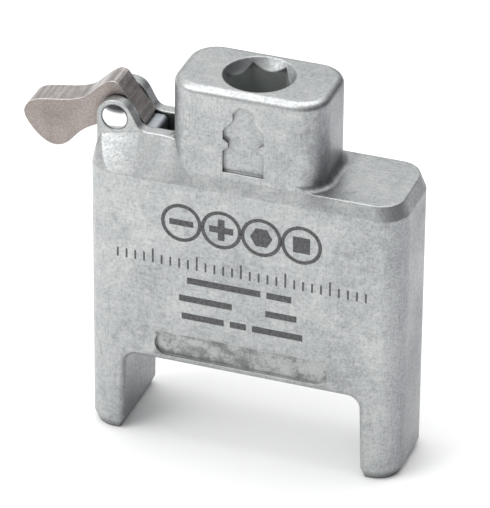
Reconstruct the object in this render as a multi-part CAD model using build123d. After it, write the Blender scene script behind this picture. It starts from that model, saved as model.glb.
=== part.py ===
"""Hex-bit driver insert for a flip-lid pocket case.

One zinc casting carries a 1/4 in hex socket, a riveted lid cam on a leaf spring and two disc magnets.
Millimetres, +Z up. Origin: middle of the footprint, in the plane of the feet. Front is -Y, the cam is at -X.
"""

import os
from math import cos, radians, sin, sqrt, tan

from build123d import *

# Casting, overall
BODY_WIDTH = 35.6          # along X, sliding fit in the case
BODY_DEPTH = 10.8          # along Y
CORNER_R = 3.0             # plan corners of the body
SHELF_Z = 33.95            # shelf that the lid closes over
RIM_HEIGHT = 1.65          # sloped band under the shelf
RIM_INSET_X = 0.7
RIM_INSET_Y = 0.37

# Legs and the bit-storage gap between them
GAP_WIDTH = 26.7           # at the ceiling; a 25.4 mm bit lies here
GAP_HEIGHT = 9.95
GAP_DRAFT = 1.7            # degrees per side, wider at the feet
GAP_CORNER_R = 1.4
LEG_EDGE_R = 0.7
FOOT_CHAMFER_IN = 0.45
FOOT_CHAMFER_UP = 1.1

# Chimney block with the driving socket
CHIMNEY_WIDTH = 17.2
CHIMNEY_HEIGHT = 10.3      # above the shelf
CHIMNEY_CORNER_R = 3.2
CHIMNEY_TOP_R = 0.9
CHIMNEY_FOOT_R = 0.8       # cove onto the shelf
HEX_FLATS = 6.4            # 1/4 in bit shank with 0.05 clearance
HEX_DEPTH = 16.0           # leaves 9.4 of a 25.4 bit standing up, under the closed lid
HEX_LEAD_RIM = 0.25        # the lead-in cone clears the corners by this at the mouth
HEX_LEAD_ANGLE = 30.0      # from the axis

# Disc magnets
MAGNET_D = 6.0
MAGNET_T = 2.0
MAGNET_FIT = 0.02          # radial glue gap
MAGNET_SINK = 0.1          # storage magnet below the gap ceiling

# Hinge cap: the bevelled block at the left end
CAP_RISE = 2.7             # above the shelf
CAP_END_INSET = 0.75
CAP_CORNER_R = 1.5
CAP_FLARE = 4.4            # the cap widens into the chimney's corner over this length
CAP_TUCK = 0.1             # the cap's end stays this far inside the rim and the chimney wall
CAP_CHIMNEY_R = 1.0        # fillet from the cap top into the chimney wall

# Ears and slot
PIVOT_INSET = 2.65         # pivot to the left end of the body
PIVOT_RISE = 3.8           # pivot above the shelf
EAR_R = 2.0
EAR_T = 1.3
EAR_FACE_DROP = 1.5        # the ear faces reach this far below the cap top at the left end
EAR_FLANK_ANGLE = 27.5     # right flank, from vertical
EAR_FLANK_R = 1.2
WELL_DEPTH = 3.95          # below the shelf
WELL_END_WALL = 1.1        # closes the well at the left, up to the sill
SILL_DROP = 3.6            # sill below the pivot

# Lid cam
CAM_WIDTH = 3.3
CAM_SIDE_CLEARANCE = 0.15
CAM_BORE_CLEARANCE = 0.05
CAM_FLAT_A = 1.35          # pivot to the flat that holds the lid open
CAM_FLAT_B = 1.82          # pivot to the flat that holds the lid shut
CAM_SWING = 126.0          # degrees between the two flats
# Tail profile from the pivot, (along -X, up): over the top from the crown, round the tip, and back underneath
TAIL = [(1.05, 3.42), (1.85, 2.92), (2.85, 2.02), (3.85, 1.08), (4.85, 0.58), (6.85, 0.10), (8.85, -0.22),
        (10.35, -0.85), (10.95, -2.0), (10.4, -3.4), (8.95, -4.95), (7.45, -5.55), (6.15, -5.1),
        (4.85, -3.72), (3.85, -2.85), (2.85, -2.25), (1.9, -1.75)]
CROWN_UP = 3.3             # upper end of the shut flat
HEEL_R = 0.35              # corner between the flats
HUB_BACK = 1.0             # the open flat reaches this far behind the pivot

# Rivet
SHANK_D = 2.0
HEAD_D = 2.75
HEAD_T = 0.42
HEAD_SEAT_GAP = 0.15       # ring round each head, in a shallow seat
HEAD_SEAT_DEPTH = 0.12
HEAD_RIM_T = 0.08          # straight edge of the domed head
RIVET_FIT = 0.01

# Cam spring, one bent strip
SPRING_SIDE_CLEARANCE = 0.2
SPRING_T = 0.35
SPRING_GAP = 0.02          # under the cam flat and over the well floor
SPRING_BEND_TOP_R = 0.6    # outside radius
SPRING_BEND_LOW_R = 0.9
SPRING_REACH = 4.35        # pivot to the outside of the top bend, along X
SPRING_LEAN = 0.35         # the leg leans this far back to the left
SPRING_ARM = 5.0           # length of the top arm
SPRING_FOOT = 4.8          # length of the foot on the floor

# Recesses in the front
PILL_WIDTH = 19.7
PILL_HEIGHT = 2.95
PILL_RISE = 2.3            # middle of the pill above the gap
PILL_DEPTH = 0.35
SIGN_DEPTH = 0.4
SIGN_RISE = 4.75           # middle of the bit pictogram above the shelf

OVERSHOOT = 1.0            # cutters and buried roots run this far past the faces they meet

# Worked out from the sizes above
half_width = BODY_WIDTH / 2
half_depth = BODY_DEPTH / 2
rim_z = SHELF_Z - RIM_HEIGHT
chimney_depth = BODY_DEPTH - 2 * RIM_INSET_Y
chimney_left = -CHIMNEY_WIDTH / 2
cap_right = chimney_left + CHIMNEY_CORNER_R   # the cap runs in under the chimney's round corner
top_z = SHELF_Z + CHIMNEY_HEIGHT
cap_z = SHELF_Z + CAP_RISE
pivot_x = -half_width + PIVOT_INSET
pivot_z = SHELF_Z + PIVOT_RISE
slot_width = CAM_WIDTH + 2 * CAM_SIDE_CLEARANCE
spring_width = slot_width - 2 * SPRING_SIDE_CLEARANCE
ear_face_y = slot_width / 2 + EAR_T
floor_z = SHELF_Z - WELL_DEPTH
hex_lead_r = HEX_FLATS / sqrt(3) + HEX_LEAD_RIM


def plan(width, depth, radius, z):
    """Rounded rectangle about the Z axis at a height."""
    return Pos(0, 0, z) * RectangleRounded(width, depth, radius)


def front_prism(profile, y_near, y_far):
    """Extrude a profile drawn in X and Z from one Y to another."""
    return extrude(Plane.XZ.offset(-y_near) * profile, -(y_far - y_near))


def both_sides(solid):
    """A solid and its mirror image in the XZ plane."""
    return solid + mirror(solid, Plane.XZ)


def edges_near(solid, inside):
    """Edges whose middle passes a test on its position."""
    return [edge for edge in solid.edges() if inside(edge.center())]


def body_core():
    core = extrude(plan(BODY_WIDTH, BODY_DEPTH, CORNER_R, 0), rim_z)
    flare = GAP_HEIGHT * tan(radians(GAP_DRAFT))
    top, foot = GAP_WIDTH / 2, GAP_WIDTH / 2 + flare
    gap = make_face(Polyline((-foot, 0), (-top, GAP_HEIGHT), (top, GAP_HEIGHT), (foot, 0), close=True))
    gap = fillet(gap.vertices().group_by(Axis.Y)[-1], GAP_CORNER_R)
    core -= front_prism(gap, -BODY_DEPTH, BODY_DEPTH)
    leg_edges = edges_near(core, lambda p: abs(p.Y) > half_depth - 0.01 and p.Z < GAP_HEIGHT + 0.01
                           and abs(p.X) < foot + 0.01 and p.Z > 1)
    core = fillet(leg_edges, LEG_EDGE_R)
    for side in (0, -1):
        sole = core.faces().group_by(Axis.Z)[0].sort_by(Axis.X)[side]
        core = chamfer(sole.edges(), FOOT_CHAMFER_IN, FOOT_CHAMFER_UP, reference=sole)
    return core


def shelf_rim():
    """The sloped band up to the shelf, right of the hinge cap."""
    rim = loft([
        plan(BODY_WIDTH, BODY_DEPTH, CORNER_R, rim_z).face(),
        plan(BODY_WIDTH - 2 * RIM_INSET_X, chimney_depth, CORNER_R - RIM_INSET_Y, SHELF_Z).face(),
    ])
    return rim & Pos(cap_right + BODY_WIDTH / 2, 0, SHELF_Z) * Box(BODY_WIDTH, 2 * BODY_DEPTH, 2 * SHELF_Z)


def chimney():
    """The socket block with a cove round its foot, trimmed flush with the rim at front and back."""
    root_z = rim_z - OVERSHOOT
    block = extrude(plan(CHIMNEY_WIDTH, chimney_depth, CHIMNEY_CORNER_R, root_z), top_z - root_z)
    block = fillet(block.edges().group_by(Axis.Z)[-1], CHIMNEY_TOP_R)
    spread = 2 * (CHIMNEY_FOOT_R + OVERSHOOT)
    block += Pos(CHIMNEY_WIDTH / 2, 0, SHELF_Z - OVERSHOOT / 2) * Box(
        CHIMNEY_WIDTH + spread, chimney_depth + spread, OVERSHOOT)
    foot = edges_near(block, lambda p: abs(p.Z - SHELF_Z) < 1e-3 and 0 < p.X < CHIMNEY_WIDTH / 2 + 0.01
                      and abs(p.Y) < chimney_depth / 2 + 0.01)
    block = fillet(foot, CHIMNEY_FOOT_R)
    return block & Pos(0, 0, top_z / 2) * Box(CHIMNEY_WIDTH + 2 * CHIMNEY_FOOT_R, chimney_depth, top_z)


def cap_plan(z):
    """Cap outline at a height: round corners at the left, flaring into the chimney's front at the right."""
    share = (z - rim_z) / (cap_z - rim_z)
    left = -half_width + CAP_END_INSET * share
    half = half_depth + (ear_face_y - half_depth) * share
    radius = CORNER_R + (CAP_CORNER_R - CORNER_R) * share
    end = half_depth - (RIM_INSET_Y + CAP_TUCK) * (z - rim_z) / RIM_HEIGHT
    flare = cap_right - CAP_FLARE
    bottom = [
        Line((left, 0), (left, -half + radius)),
        RadiusArc((left, -half + radius), (left + radius, -half), -radius),
        Line((left + radius, -half), (flare, -half)),
        Spline((flare, -half), (cap_right, -end), tangents=[(1, 0), (1, 0)]),
        Line((cap_right, -end), (cap_right, 0)),
    ]
    outline = Curve() + bottom + [mirror(edge, Plane.XZ) for edge in bottom]
    return Pos(0, 0, z) * make_face(outline)


def ear_relief():
    """What is cut off beside the ears: the bevel leans further in towards the left end."""
    far = 2 * BODY_DEPTH
    sections = []
    for x, y_top, z_top in [(-half_width - OVERSHOOT, ear_face_y, cap_z - EAR_FACE_DROP),
                            (ear_foot_x(), ear_face_y, cap_z)]:
        outline = Polyline((-half_depth, rim_z), (-y_top, z_top), (-y_top, 2 * cap_z), (-far, 2 * cap_z),
                           (-far, rim_z), close=True)
        sections.append(Plane.YZ.offset(x) * make_face(outline))
    return both_sides(loft([section.face() for section in sections], ruled=True))


def hinge_cap():
    block = loft([cap_plan(z).face() for z in (rim_z, SHELF_Z, cap_z)], ruled=True) - ear_relief()
    return block + both_sides(front_prism(ear_profile(), slot_width / 2, ear_face_y))


def ear_touch():
    """Where the right flank leaves the round of the ear."""
    turn = radians(EAR_FLANK_ANGLE)
    return pivot_x + EAR_R * cos(turn), pivot_z + EAR_R * sin(turn)


def ear_foot_x():
    """Where the right flank would meet the cap top."""
    x, z = ear_touch()
    return x + (z - cap_z) * tan(radians(EAR_FLANK_ANGLE))


def chimney_wall_x(y):
    """Left face of the chimney at a distance from the middle plane, followed round its corner."""
    past_flat = max(0.0, y - (chimney_depth / 2 - CHIMNEY_CORNER_R))
    return chimney_left + CHIMNEY_CORNER_R - sqrt(CHIMNEY_CORNER_R ** 2 - past_flat ** 2)


def ear_profile():
    """Ear, cap top and chimney wall seen from the front, with the fillets between them."""
    base = cap_z - EAR_FACE_DROP - OVERSHOOT
    wall_top = cap_z + 2 * CAP_CHIMNEY_R
    ear_left = pivot_x - EAR_R
    wall_x = chimney_wall_x(ear_face_y) + CAP_TUCK
    in_chimney = wall_x + OVERSHOOT
    ear = make_face(Polyline(
        (ear_left, base), (ear_left, pivot_z), (pivot_x, pivot_z), ear_touch(), (ear_foot_x(), cap_z),
        (wall_x, cap_z), (wall_x, wall_top), (in_chimney, wall_top), (in_chimney, base),
        close=True))
    ear = fillet([v for v in ear.vertices() if abs(v.Y - cap_z) < 1e-6 and v.X < chimney_left],
                 EAR_FLANK_R)
    ear = fillet([v for v in ear.vertices() if abs(v.Y - cap_z) < 1e-6 and v.X > chimney_left],
                 CAP_CHIMNEY_R)
    return ear + Pos(pivot_x, pivot_z) * Circle(EAR_R)


def slot_cut():
    """Cam slot open to the left above a sill, with the spring well below it."""
    sill_z = pivot_z - SILL_DROP
    slot_left = -half_width - OVERSHOOT
    over = pivot_z + EAR_R + OVERSHOOT
    slot = Pos((slot_left + chimney_left) / 2, 0, (sill_z + over) / 2) * Box(
        chimney_left - slot_left, slot_width, over - sill_z)
    well_left = -half_width + WELL_END_WALL
    well = Pos((well_left + chimney_left) / 2, 0, (floor_z + sill_z + OVERSHOOT) / 2) * Box(
        chimney_left - well_left, slot_width, sill_z + OVERSHOOT - floor_z)
    return slot + well


def rivet_holes():
    holes = front_prism(Pos(pivot_x, pivot_z) * Circle(SHANK_D / 2 + RIVET_FIT), -BODY_DEPTH, BODY_DEPTH)
    seat = front_prism(Pos(pivot_x, pivot_z) * Circle(HEAD_D / 2 + HEAD_SEAT_GAP),
                       ear_face_y - HEAD_SEAT_DEPTH, ear_face_y + OVERSHOOT)
    return holes + both_sides(seat)


def socket_cut():
    hexagon = RegularPolygon(HEX_FLATS / 2, 6, major_radius=False)
    socket = extrude(Pos(0, 0, top_z - HEX_DEPTH) * hexagon, HEX_DEPTH + OVERSHOOT)
    lead_depth = hex_lead_r / tan(radians(HEX_LEAD_ANGLE))
    lead = Pos(0, 0, top_z - lead_depth / 2) * Cone(0, hex_lead_r, lead_depth)
    pocket = Pos(0, 0, top_z - HEX_DEPTH - MAGNET_T / 2) * Cylinder(MAGNET_D / 2 + MAGNET_FIT, MAGNET_T)
    return socket + lead + pocket


def storage_pocket():
    depth = MAGNET_T + MAGNET_SINK
    return Pos(0, 0, GAP_HEIGHT + depth / 2) * Cylinder(MAGNET_D / 2 + MAGNET_FIT, depth)


def bit_sign():
    """Pictogram of a driver bit, point up: hex shank, notch, shoulder and cross-head point."""
    half = [(2.3, -4.0), (2.3, -1.4), (1.7, -1.0), (1.7, -0.4), (2.3, 0.0), (2.3, 1.0), (1.2, 2.3),
            (1.2, 3.2), (0.5, 4.0)]
    outline = half + [(-x, z) for x, z in reversed(half)]
    return Pos(0, SHELF_Z + SIGN_RISE) * make_face(Polyline(*outline, close=True))


def front_recesses():
    outside = -half_depth - OVERSHOOT
    slot = Pos(0, GAP_HEIGHT + PILL_RISE) * SlotOverall(PILL_WIDTH, PILL_HEIGHT)
    pill = front_prism(slot, outside, -half_depth + PILL_DEPTH)
    sign = front_prism(bit_sign(), outside, -chimney_depth / 2 + SIGN_DEPTH)
    return [pill, sign]


def insert_body():
    casting = body_core() + shelf_rim() + hinge_cap() + chimney()
    for cut in [slot_cut(), rivet_holes(), socket_cut(), storage_pocket(), *front_recesses()]:
        casting -= cut
    return casting


def cam_lever():
    def at(points):
        return [(pivot_x - along, pivot_z + up) for along, up in points]

    # The shut flat runs from the crown until it meets the open flat at the heel
    turn = radians(CAM_SWING - 90)
    heel = (CAM_FLAT_B + CAM_FLAT_A * sin(turn)) / cos(turn)
    crown = ((CROWN_UP * sin(turn) - CAM_FLAT_B) / cos(turn), CROWN_UP)
    tail = Spline(*at([crown] + TAIL))
    hub_left = (pivot_x - HUB_BACK, pivot_z - CAM_FLAT_A)
    heel_point = (pivot_x + heel, pivot_z - CAM_FLAT_A)
    edges = [tail, Line(tail @ 1, hub_left), Line(hub_left, heel_point), Line(heel_point, tail @ 0)]
    profile = make_face(Curve() + edges)
    profile = fillet([v for v in profile.vertices() if v.X > pivot_x + 1], HEEL_R)
    lever = front_prism(profile, -CAM_WIDTH / 2, CAM_WIDTH / 2)
    bore = Pos(pivot_x, pivot_z) * Circle(SHANK_D / 2 + CAM_BORE_CLEARANCE)
    return lever - front_prism(bore, -CAM_WIDTH, CAM_WIDTH)


def pivot_rivet():
    seat_y = ear_face_y - HEAD_SEAT_DEPTH
    shank = front_prism(Pos(pivot_x, pivot_z) * Circle(SHANK_D / 2), -seat_y, seat_y)
    head = front_prism(Pos(pivot_x, pivot_z) * Circle(HEAD_D / 2), seat_y, seat_y + HEAD_T)
    crown = HEAD_T - HEAD_RIM_T
    dome_r = ((HEAD_D / 2) ** 2 + crown ** 2) / (2 * crown)
    head &= Pos(pivot_x, seat_y + HEAD_T - dome_r, pivot_z) * Sphere(dome_r)
    return shank + both_sides(head)


def cam_spring():
    """Strip centreline: top arm under the cam, a tight bend, the leaning leg and the foot on the floor."""
    half = SPRING_T / 2
    arm_z = pivot_z - CAM_FLAT_A - SPRING_GAP - half
    foot_z = floor_z + SPRING_GAP + half
    right = pivot_x + SPRING_REACH - half
    path = Polyline((right - SPRING_ARM, arm_z), (right, arm_z), (right - SPRING_LEAN, foot_z),
                    (right - SPRING_LEAN - SPRING_FOOT, foot_z))
    path = fillet(path.vertices()[1:2], SPRING_BEND_TOP_R - half)
    low_bend = [v for v in path.vertices() if abs(v.X - right + SPRING_LEAN) < 1e-6]
    path = fillet(low_bend, SPRING_BEND_LOW_R - half)
    strip = trace(path, SPRING_T)
    return front_prism(strip, -spring_width / 2, spring_width / 2)


def magnet(z):
    """Disc magnet standing on a height, with softened rims."""
    disc = Pos(0, 0, z + MAGNET_T / 2) * Cylinder(MAGNET_D / 2, MAGNET_T)
    return chamfer(disc.edges().filter_by(GeomType.CIRCLE), 0.15)


pieces = {
    "insert_body": insert_body(),
    "cam_lever": cam_lever(),
    "pivot_rivet": pivot_rivet(),
    "cam_spring": cam_spring(),
    "socket_magnet": magnet(top_z - HEX_DEPTH - MAGNET_T),
    "storage_magnet": magnet(GAP_HEIGHT + MAGNET_SINK),
}

os.makedirs("parts", exist_ok=True)
for name, shape in pieces.items():
    export_step(shape, f"parts/{name}.step")
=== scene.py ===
"""Looks for the bit-driver insert: materials, spring, laser marking, studio and camera."""

import math

import bmesh
import bpy
from mathutils import Matrix, Vector


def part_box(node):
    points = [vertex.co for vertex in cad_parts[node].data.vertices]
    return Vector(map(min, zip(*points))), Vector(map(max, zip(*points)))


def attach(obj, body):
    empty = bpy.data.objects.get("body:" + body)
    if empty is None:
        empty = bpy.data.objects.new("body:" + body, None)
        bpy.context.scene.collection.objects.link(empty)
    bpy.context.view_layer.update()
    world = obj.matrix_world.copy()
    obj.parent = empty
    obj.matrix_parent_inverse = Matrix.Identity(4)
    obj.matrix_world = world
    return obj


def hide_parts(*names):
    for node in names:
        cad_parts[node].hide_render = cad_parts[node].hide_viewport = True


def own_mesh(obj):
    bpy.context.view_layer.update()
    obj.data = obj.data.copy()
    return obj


MM = 0.001
WHITE = (1.0, 1.0, 1.0)

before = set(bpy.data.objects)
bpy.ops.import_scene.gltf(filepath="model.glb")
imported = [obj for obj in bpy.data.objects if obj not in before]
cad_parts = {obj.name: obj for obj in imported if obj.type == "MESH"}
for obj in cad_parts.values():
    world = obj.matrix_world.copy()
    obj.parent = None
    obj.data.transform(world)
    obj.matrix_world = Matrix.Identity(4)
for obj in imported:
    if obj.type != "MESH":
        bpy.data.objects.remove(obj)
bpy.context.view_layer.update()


# ---- node helpers

class Shader:
    """A material's node tree: each method adds nodes and returns the output socket."""

    def __init__(self, name):
        self.material = bpy.data.materials.new(name)
        self.material.use_nodes = True
        self.tree = self.material.node_tree
        self.principled = self.tree.nodes["Principled BSDF"]
        self.place = self.tree.nodes.new("ShaderNodeTexCoord").outputs["Object"]

    def link(self, source, target):
        self.tree.links.new(source, target)

    def feed(self, socket, value):
        """Set a socket to a constant or link it to another node's output."""
        if isinstance(value, (float, int, tuple)):
            socket.default_value = value
        else:
            self.link(value, socket)

    def stretched(self, scale):
        node = self.tree.nodes.new("ShaderNodeMapping")
        node.inputs["Scale"].default_value = scale
        self.link(self.place, node.inputs["Vector"])
        return node.outputs["Vector"]

    def noise(self, per_metre, detail=3.0, rough=0.55, stretch=None):
        node = self.tree.nodes.new("ShaderNodeTexNoise")
        node.inputs["Scale"].default_value = per_metre
        node.inputs["Detail"].default_value = detail
        node.inputs["Roughness"].default_value = rough
        self.link(self.stretched(stretch) if stretch else self.place, node.inputs["Vector"])
        return node.outputs["Fac"]

    def cells(self, per_metre):
        node = self.tree.nodes.new("ShaderNodeTexVoronoi")
        node.inputs["Scale"].default_value = per_metre
        self.link(self.place, node.inputs["Vector"])
        return node.outputs["Distance"]

    def remap(self, value, low, high, to_low, to_high):
        node = self.tree.nodes.new("ShaderNodeMapRange")
        for socket, number in zip(("From Min", "From Max", "To Min", "To Max"), (low, high, to_low, to_high)):
            node.inputs[socket].default_value = number
        self.link(value, node.inputs["Value"])
        return node.outputs["Result"]

    def colours(self, value, stops):
        node = self.tree.nodes.new("ShaderNodeValToRGB")
        ramp = node.color_ramp
        while len(ramp.elements) < len(stops):
            ramp.elements.new(0.5)
        for element, (position, colour) in zip(ramp.elements, stops):
            element.position = position
            element.color = (*colour, 1)
        self.link(value, node.inputs["Fac"])
        return node.outputs["Color"]

    def blend(self, factor, a, b, mode="MIX"):
        node = self.tree.nodes.new("ShaderNodeMix")
        node.data_type = "RGBA"
        node.blend_type = mode
        for socket, value in zip((node.inputs[0], node.inputs[6], node.inputs[7]), (factor, a, b)):
            self.feed(socket, (*value, 1) if isinstance(value, tuple) else value)
        return node.outputs[2]

    def calculate(self, operation, a, b):
        node = self.tree.nodes.new("ShaderNodeMath")
        node.operation = operation
        self.feed(node.inputs[0], a)
        self.feed(node.inputs[1], b)
        return node.outputs["Value"]

    def plus(self, a, b):
        return self.calculate("ADD", a, b)

    def minus(self, a, b):
        return self.calculate("SUBTRACT", a, b)

    def times(self, a, b):
        return self.calculate("MULTIPLY", a, b)

    def bump(self, height, distance, strength=1.0, over=None):
        node = self.tree.nodes.new("ShaderNodeBump")
        node.inputs["Strength"].default_value = strength
        node.inputs["Distance"].default_value = distance
        self.link(height, node.inputs["Height"])
        if over:
            self.link(over, node.inputs["Normal"])
        return node.outputs["Normal"]

    def soft_edges(self, radius):
        node = self.tree.nodes.new("ShaderNodeBevel")
        node.samples = 6
        node.inputs["Radius"].default_value = radius
        return node.outputs["Normal"]

    def edge_wear_and_highlight(self, radius):
        """1 along sharp edges, falling to 0 at the given distance from them."""
        rounded = self.soft_edges(radius)
        flat = self.tree.nodes.new("ShaderNodeNewGeometry").outputs["Normal"]
        compare = self.tree.nodes.new("ShaderNodeVectorMath")
        compare.operation = "DOT_PRODUCT"
        self.link(rounded, compare.inputs[0])
        self.link(flat, compare.inputs[1])
        return self.remap(compare.outputs["Value"], 0.80, 0.985, 1.0, 0.0)

    def crevices(self, reach):
        """0 on open surfaces, rising towards 1 in corners and recesses."""
        node = self.tree.nodes.new("ShaderNodeAmbientOcclusion")
        node.samples = 8
        node.inputs["Distance"].default_value = reach
        return self.remap(node.outputs["AO"], 0.35, 0.95, 1.0, 0.0)

    def facing(self, axis, low, high):
        """How far the surface faces along an axis of the part, from 0 to 1."""
        node = self.tree.nodes.new("ShaderNodeTexCoord")
        split = self.tree.nodes.new("ShaderNodeSeparateXYZ")
        self.link(node.outputs["Normal"], split.inputs["Vector"])
        return self.remap(split.outputs[axis], low, high, 0.0, 1.0)

    def inside(self, low, high, soft):
        """1 inside a box of the part, in millimetres, falling to 0 outside it over a soft edge."""
        split = self.tree.nodes.new("ShaderNodeSeparateXYZ")
        self.link(self.place, split.inputs["Vector"])
        inside = None
        for axis in range(3):
            near = self.remap(split.outputs[axis], (low[axis] - soft) * MM, low[axis] * MM, 0.0, 1.0)
            far = self.remap(split.outputs[axis], high[axis] * MM, (high[axis] + soft) * MM, 1.0, 0.0)
            both = self.times(near, far)
            inside = both if inside is None else self.times(inside, both)
        return inside

    def finish(self, colour=None, roughness=None, normal=None, metallic=1.0):
        self.principled.inputs["Metallic"].default_value = metallic
        for name, socket in (("Base Color", colour), ("Roughness", roughness), ("Normal", normal)):
            if socket is not None:
                self.link(socket, self.principled.inputs[name])
        return self.material


# ---- materials

def zinc():
    """Tumbled zinc casting: cloudy grey, with streaks, fine grain and pits; painted shade in the corners and
    on the faces turned towards +X, and edges lightened as rubbed wear and painted highlight.
    """
    s = Shader("zinc_casting")
    clouds = s.noise(110, 7, 0.68)
    streaks = s.noise(1000, 5, 0.8, (1.0, 1.0, 0.6))
    grain = s.noise(3600, 3, 0.7)
    mottle = s.plus(s.times(clouds, 0.6), s.times(streaks, 0.4))
    colour = s.colours(mottle, [(0.36, (0.33, 0.343, 0.35)), (0.5, (0.43, 0.444, 0.446)),
                                (0.66, (0.53, 0.54, 0.533))])
    specks = s.colours(grain, [(0.30, (0.50, 0.51, 0.52)), (0.56, WHITE)])
    colour = s.blend(0.6, colour, specks, "MULTIPLY")
    smears = s.noise(1500, 5, 0.8, (0.35, 1.0, 1.0))
    colour = s.blend(s.remap(smears, 0.50, 0.68, 0.0, 0.45), colour, (0.60, 0.61, 0.585))
    scratches = s.noise(5200, 2, 0.5, (1.0, 1.0, 0.07))
    colour = s.blend(s.remap(scratches, 0.60, 0.70, 0.0, 0.35), colour, (0.22, 0.225, 0.23))
    pits = s.cells(1300)
    colour = s.blend(s.remap(pits, 0.03, 0.12, 0.5, 0.0), colour, (0.2, 0.2, 0.2))

    # Painted shade: darker in corners and recesses (ambient occlusion) and in a box at the right of the
    # chimney's foot, mottled by the streaks
    painted_shade = s.times(s.crevices(0.0011), s.remap(streaks, 0.35, 0.65, 0.6, 1.0))
    chimney_foot = s.inside((7.6, -5.2, 33.0), (9.2, 5.2, 35.2), 1.0)
    painted_shade = s.plus(painted_shade, s.times(chimney_foot, s.remap(streaks, 0.40, 0.60, 0.15, 0.5)))
    colour = s.blend(painted_shade, colour, (0.15, 0.155, 0.16))
    # Painted shade: faces turned towards +X are darkened, mottled by the streaks
    painted_side_shade = s.times(s.facing(0, 0.25, 0.95), s.remap(streaks, 0.35, 0.65, 0.45, 0.75))
    colour = s.blend(painted_side_shade, colour, s.blend(1.0, colour, (0.49, 0.49, 0.535), "MULTIPLY"))

    # The trimmed gate mark: a pale torn floor with dark patches in the pill-shaped recess, darker at the left
    gate = s.inside((-9.6, -6.0, 10.95), (9.6, -5.1, 13.5), 0.35)
    torn = s.noise(420, 7, 0.72)
    colour = s.blend(s.times(gate, 0.5), colour, (0.56, 0.57, 0.56))
    # More dark patches towards the left end of the recess
    darker_leftwards = s.times(s.inside((-9.6, -6.0, 10.95), (-2.0, -5.1, 13.5), 5.0), 0.07)
    dark = s.remap(s.minus(torn, darker_leftwards), 0.38, 0.50, 0.8, 0.0)
    colour = s.blend(s.times(gate, dark), colour, (0.13, 0.132, 0.13))

    # Pale as-cast walls in the socket, and edges lightened: partly rubbed bright in the tumbler, partly a
    # painted highlight
    socket = s.inside((-3.6, -3.6, 28.4), (3.6, 3.6, 43.0), 0.4)
    colour = s.blend(s.times(socket, 0.5), colour, (0.62, 0.66, 0.63))
    wear_and_highlight = s.times(s.edge_wear_and_highlight(0.00016), s.minus(1.0, s.crevices(0.0005)))
    colour = s.blend(s.times(wear_and_highlight, 0.5), colour, (0.80, 0.81, 0.79))

    rough = s.plus(s.remap(mottle, 0.35, 0.65, 0.46, 0.30), s.remap(grain, 0.3, 0.7, 0.06, -0.04))
    rough = s.plus(rough, s.times(s.plus(gate, socket), 0.15))
    normal = s.bump(clouds, 0.00014, 0.4, s.soft_edges(0.00028))
    normal = s.bump(streaks, 0.00006, 0.5, normal)
    normal = s.bump(grain, 0.00002, 0.55, normal)
    normal = s.bump(s.times(gate, torn), 0.00025, 0.8, normal)
    return s.finish(colour, rough, normal)


def sintered():
    """Sintered steel: brown-grey with a fine closed grain, brushed across its narrow faces."""
    s = Shader("sintered_steel")
    grain = s.noise(4200, 4, 0.75)
    clouds = s.noise(450, 4)
    across = s.noise(1700, 3, 0.6, (1.0, 0.06, 1.0))
    wide_face = s.plus(s.facing(1, -0.8, -0.95), s.facing(1, 0.8, 0.95))
    base = s.colours(clouds, [(0.3, (0.30, 0.264, 0.248)), (0.7, (0.40, 0.358, 0.338))])
    dark_grain = s.colours(grain, [(0.36, (0.52, 0.50, 0.48)), (0.58, WHITE)])
    speckled = s.blend(0.7, base, dark_grain, "MULTIPLY")
    lines = s.colours(across, [(0.38, (0.42, 0.42, 0.42)), (0.60, WHITE)])
    brushed = s.blend(0.65, s.blend(1.0, base, (1.62, 1.68, 1.73), "MULTIPLY"), lines, "MULTIPLY")
    rubbed_grain = s.colours(grain, [(0.36, (0.45, 0.44, 0.43)), (0.58, WHITE)])
    brushed = s.blend(0.5, brushed, rubbed_grain, "MULTIPLY")
    colour = s.blend(wide_face, brushed, speckled)
    # Edges lightened: partly rubbed bright, partly a painted highlight
    colour = s.blend(s.edge_wear_and_highlight(0.00012), colour, (0.90, 0.88, 0.87))
    # Painted shade: near black in corners and recesses (ambient occlusion)
    colour = s.blend(s.times(s.crevices(0.0009), 0.8), colour, (0.06, 0.052, 0.05))
    rough = s.plus(s.remap(grain, 0.3, 0.7, 0.27, 0.42), s.times(wide_face, 0.08))
    relief = s.plus(s.times(wide_face, grain), s.times(s.minus(1.0, wide_face), across))
    return s.finish(colour, rough, s.bump(relief, 0.00003, 0.45, s.soft_edges(0.00014)))


def polished():
    """Bright rivet: smooth, with a painted dark reflection round the upper side of the domed heads."""
    s = Shader("rivet_steel")
    scratches = s.noise(1500, 3, 0.6, (1, 1, 8))
    colour = s.colours(scratches, [(0.3, (0.78, 0.78, 0.79)), (0.7, (0.9, 0.9, 0.9))])
    # Painted reflection: the upward-facing side of the domed heads is darkened
    colour = s.blend(s.facing(2, 0.22, 0.36), colour, (0.10, 0.105, 0.115))
    return s.finish(colour, s.remap(scratches, 0.3, 0.7, 0.08, 0.2), s.bump(scratches, 0.00001, 0.3))


def spring_strip():
    """Cold-rolled strip: smooth blue-grey with faint rolling lines."""
    s = Shader("spring_steel")
    lines = s.noise(500, 3, 0.5, (1, 4, 1))
    colour = s.colours(lines, [(0.3, (0.36, 0.385, 0.42)), (0.7, (0.43, 0.455, 0.49))])
    return s.finish(colour, s.remap(lines, 0.3, 0.7, 0.3, 0.4), s.bump(lines, 0.000004, 0.2))


def nickel():
    """Nickel plating, slightly dulled."""
    s = Shader("magnet_nickel")
    dull = s.noise(700, 4, 0.6)
    colour = s.colours(dull, [(0.3, (0.50, 0.49, 0.46)), (0.7, (0.66, 0.65, 0.62))])
    return s.finish(colour, s.remap(dull, 0.3, 0.7, 0.2, 0.4), s.bump(dull, 0.00002, 0.3))


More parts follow.
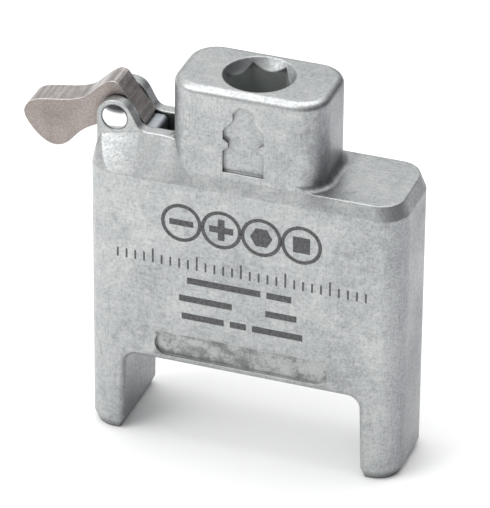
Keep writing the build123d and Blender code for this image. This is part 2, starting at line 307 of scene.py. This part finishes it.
def laser_mark():
    """Laser-darkened metal: speckled dark grey, matt."""
    s = Shader("laser_mark")
    dots = s.noise(6000, 2, 0.6)
    colour = s.colours(dots, [(0.35, (0.05, 0.05, 0.052)), (0.65, (0.13, 0.13, 0.135))])
    return s.finish(colour, s.remap(dots, 0.3, 0.7, 0.5, 0.7), s.bump(dots, 0.00001, 0.4), metallic=0.3)


def floor_paint():
    """Matt near-white studio floor."""
    s = Shader("floor")
    s.principled.inputs["Roughness"].default_value = 0.9
    colour = s.colours(s.noise(3, 2), [(0.3, (0.93, 0.93, 0.93)), (0.7, (0.95, 0.95, 0.95))])
    return s.finish(colour, metallic=0.0)


magnet_look = nickel()
looks = {"insert_body": zinc(), "cam_lever": sintered(), "pivot_rivet": polished(),
         "cam_spring": spring_strip(), "socket_magnet": magnet_look, "storage_magnet": magnet_look}
for node, material in looks.items():
    for part_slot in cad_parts[node].material_slots:
        part_slot.material = material


# ---- the spring: a copy of the strip, attached to the insert


def pressed_spring():
    """A copy of the strip that stands in for the CAD part, attached to the insert."""
    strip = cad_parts["cam_spring"]
    piece = bpy.data.objects.new("spring_strip", strip.data.copy())
    bpy.context.collection.objects.link(piece)
    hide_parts("cam_spring")
    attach(piece, "insert")
    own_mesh(piece)


pressed_spring()


# ---- laser marking on the front, in millimetres: screw-drive pictograms, a scale and rows of plain dashes

MARK_PROUD = 0.02
DRIVE_Z = 27.75                        # middle of the row of pictograms
DRIVE_X = (-6.75, -2.25, 2.25, 6.75)
RING_INNER, RING_OUTER = 1.9, 2.3
BAR = 2.7                              # length of the slot and cross bars
BAR_THICK = 0.75
SCALE_Z = 22.2                         # foot of the scale
SCALE_END = 14                         # ticks from -14 to 14, one a millimetre
DASH_ROWS = [(20.75, [(-6.1, 2.2), (2.9, 5.7)]),
             (18.45, [(-7.0, -1.0), (2.8, 6.3)]),
             (16.25, [(-6.7, -1.9), (-1.2, 0.6), (1.3, 7.0)])]
DASH_THICK = 0.75


def block(x, z, width, height):
    right, up = width / 2, height / 2
    return [(x - right, z - up), (x + right, z - up), (x + right, z + up), (x - right, z + up)]


def polygon(x, z, radius, sides, turn=0.0):
    angles = [turn + 2 * math.pi * k / sides for k in range(sides)]
    return [(x + radius * math.cos(a), z + radius * math.sin(a)) for a in angles]


def ring(x, z, inner, outer, steps=28):
    """A ring as short blocks side by side."""
    shapes = []
    for i in range(steps):
        a, b = (2 * math.pi * k / steps for k in (i, i + 1))
        shapes.append([(x + r * math.cos(t), z + r * math.sin(t))
                       for r, t in ((inner, a), (outer, a), (outer, b), (inner, b))])
    return shapes


def cross(x, z):
    arm = 0.9
    off = 0.83     # middle of each arm from the middle of the bar
    return [block(x, z, BAR, BAR_THICK), block(x, z + off, BAR_THICK, arm), block(x, z - off, BAR_THICK, arm)]


def mark_shapes():
    """Every flat shape of the marking, as points in X and Z counted round."""
    slot_x, cross_x, hex_x, square_x = DRIVE_X
    shapes = [block(slot_x, DRIVE_Z, BAR, 0.7), *cross(cross_x, DRIVE_Z), polygon(hex_x, DRIVE_Z, 1.25, 6),
              polygon(square_x, DRIVE_Z, 1.35, 4, math.pi / 4)]
    for x in DRIVE_X:
        shapes += ring(x, DRIVE_Z, RING_INNER, RING_OUTER)
    for tick in range(-SCALE_END, SCALE_END + 1):
        height = 1.7 if tick % 5 == 0 else 1.1
        shapes.append(block(tick, SCALE_Z + height / 2, 0.2, height))
    for z, dashes in DASH_ROWS:
        shapes += [block((start + end) / 2, z, end - start, DASH_THICK) for start, end in dashes]
    return shapes


def add_prism(mesh, points, y_back, y_front):
    """A flat shape made thick towards the front."""
    back = [mesh.verts.new((x * MM, y_back, z * MM)) for x, z in points]
    front = [mesh.verts.new((x * MM, y_front, z * MM)) for x, z in points]
    mesh.faces.new(front)
    mesh.faces.new(list(reversed(back)))
    for i in range(len(points)):
        j = (i + 1) % len(points)
        mesh.faces.new((front[j], front[i], back[i], back[j]))


def laser_marks():
    y_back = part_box("insert_body")[0][1]
    mesh = bmesh.new()
    for shape in mark_shapes():
        add_prism(mesh, shape, y_back, y_back - MARK_PROUD * MM)
    data = bpy.data.meshes.new("laser_marks")
    mesh.to_mesh(data)
    mesh.free()
    piece = bpy.data.objects.new("laser_marks", data)
    bpy.context.collection.objects.link(piece)
    data.materials.append(laser_mark())
    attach(piece, "insert")


laser_marks()


# ---- studio

AIM = Vector((0, 0, 0.020))            # the part's middle, which lamps and camera point at

SKY_TOP = (-0.52, 0.0, 0.85)           # direction of the brightest part of the surroundings
SKY_STRENGTH = 1.2
LAMPS = [("key", (-0.29, -0.27, 0.41), 0.30, 1.1), ("top", (0.02, 0.12, 0.45), 0.45, 1.0)]

CAMERA_ANGLES = (19.442, 30.980, 0.476)     # azimuth, elevation and roll
CAMERA_DISTANCE = 0.51636
CAMERA_SIDEWAYS = -0.00136                  # aim moved in the picture plane
CAMERA_UPWARDS = 0.00195
CAMERA_LENS = 340.5


def surroundings():
    """Soft light that fades from one bright side to dark opposite it."""
    world = bpy.data.worlds.new("studio")
    bpy.context.scene.world = world
    world.use_nodes = True
    nodes, links = world.node_tree.nodes, world.node_tree.links
    background = nodes["Background"]
    background.inputs["Strength"].default_value = SKY_STRENGTH
    direction = nodes.new("ShaderNodeTexCoord")
    toward = nodes.new("ShaderNodeVectorMath")
    toward.operation = "DOT_PRODUCT"
    toward.inputs[1].default_value = SKY_TOP
    share = nodes.new("ShaderNodeMath")
    share.operation = "MULTIPLY_ADD"
    share.inputs[1].default_value = 0.5
    share.inputs[2].default_value = 0.5
    ramp = nodes.new("ShaderNodeValToRGB")
    dark, bright = ramp.color_ramp.elements
    dark.position, dark.color = 0.40, (0.10, 0.103, 0.11, 1)
    bright.position, bright.color = 0.92, (*WHITE, 1)
    links.new(direction.outputs["Generated"], toward.inputs[0])
    links.new(toward.outputs["Value"], share.inputs[0])
    links.new(share.outputs["Value"], ramp.inputs["Fac"])
    links.new(ramp.outputs["Color"], background.inputs["Color"])


def floor():
    bpy.ops.mesh.primitive_plane_add(size=3)
    plane = bpy.context.object
    plane.name = "floor"
    plane.data.materials.append(floor_paint())


def lamps():
    for name, place, size, power in LAMPS:
        light = bpy.data.lights.new(name, "AREA")
        light.size = size
        light.energy = power
        lamp = bpy.data.objects.new(name, light)
        bpy.context.collection.objects.link(lamp)
        lamp.location = place
        lamp.rotation_euler = (AIM - Vector(place)).to_track_quat("-Z", "Y").to_euler()


def camera():
    """The picture's viewpoint: in front, to the right and above, about half a metre away."""
    azimuth, elevation, roll = (math.radians(angle) for angle in CAMERA_ANGLES)
    across, level = math.sin(azimuth), math.cos(azimuth)
    back = Vector((across * math.cos(elevation), -level * math.cos(elevation), math.sin(elevation)))
    right = Vector((level, across, 0))
    up = back.cross(right)
    right, up = (right * math.cos(roll) + up * math.sin(roll), up * math.cos(roll) - right * math.sin(roll))
    data = bpy.data.cameras.new("camera")
    data.lens = CAMERA_LENS
    data.sensor_width = 36.0
    data.clip_start = 0.01
    eye = bpy.data.objects.new("camera", data)
    bpy.context.collection.objects.link(eye)
    place = AIM + CAMERA_SIDEWAYS * right + CAMERA_UPWARDS * up + CAMERA_DISTANCE * back
    eye.matrix_world = Matrix.Translation(place) @ Matrix((right, up, back)).transposed().to_4x4()
    bpy.context.scene.camera = eye


surroundings()
floor()
lamps()
camera()
bpy.context.scene.view_settings.view_transform = "Standard"
